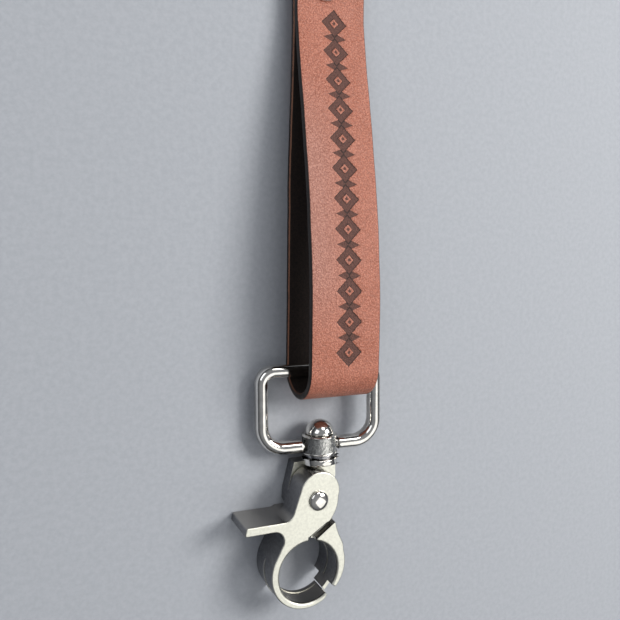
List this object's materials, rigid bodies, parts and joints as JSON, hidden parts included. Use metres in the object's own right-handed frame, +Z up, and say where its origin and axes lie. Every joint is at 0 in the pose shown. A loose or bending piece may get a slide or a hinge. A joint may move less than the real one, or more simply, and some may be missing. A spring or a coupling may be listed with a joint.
{
  "type": "wristlet keychain",
  "caption": "Leather strap folded through a wire ring and closed by a cap rivet, with a swivelling scissor snap hook.",
  "frame": {"origin": "under the middle of the whole part, on the surface that it lies on", "axes": "+Y from the snap hook to the strap's riveted end, +Z up out of the surface, towards the side with the lever's boss and the domed rivet cap"},
  "size_m": [0.0366, 0.153, 0.0147],
  "materials": {
    "leather": "reddish brown, satin grain, dark burnished edges",
    "rivet_steel": "polished nickel plate",
    "polished_nickel": "polished nickel plate",
    "cast_nickel": "mottled cast surface, nickel plate",
    "satin_nickel": "satin nickel plate",
    "spring_steel": "drawn spring wire"
  },
  "bodies": {
    "strap": {"leather_strap": "leather", "strap_rivet_cap": "rivet_steel", "strap_rivet_post": "rivet_steel"},
    "ring": {"ring_wire": "polished_nickel", "swivel_barrel": "cast_nickel"},
    "hook": {"hook_body": "satin_nickel", "swivel_rivet": "polished_nickel", "swivel_washer": "cast_nickel", "pivot_rivet": "polished_nickel", "torsion_spring": "spring_steel"},
    "lever": {"hook_lever": "satin_nickel"}
  },
  "joints": [
    {"name": "hook_swing", "type": "hinge", "parent": "strap", "child": "ring", "pos_m": [0.00262, -0.02162, 0.0044], "axis": [-0.9954, 0, -0.0958], "range_deg": [-130, 95]},
    {"name": "hook_swivel", "type": "hinge", "parent": "ring", "child": "hook", "pos_m": [0.0026, -0.03992, 0.0046], "axis": [0, 1, 0], "continuous": true},
    {"name": "lever_open", "type": "hinge", "parent": "hook", "child": "lever", "pos_m": [-0.0004, -0.05122, 0.0052], "axis": [0, 0, -1], "range_deg": [0, 25], "stiffness_Nm_per_rad": 0.02, "springref_deg": -34.38}
  ]
}
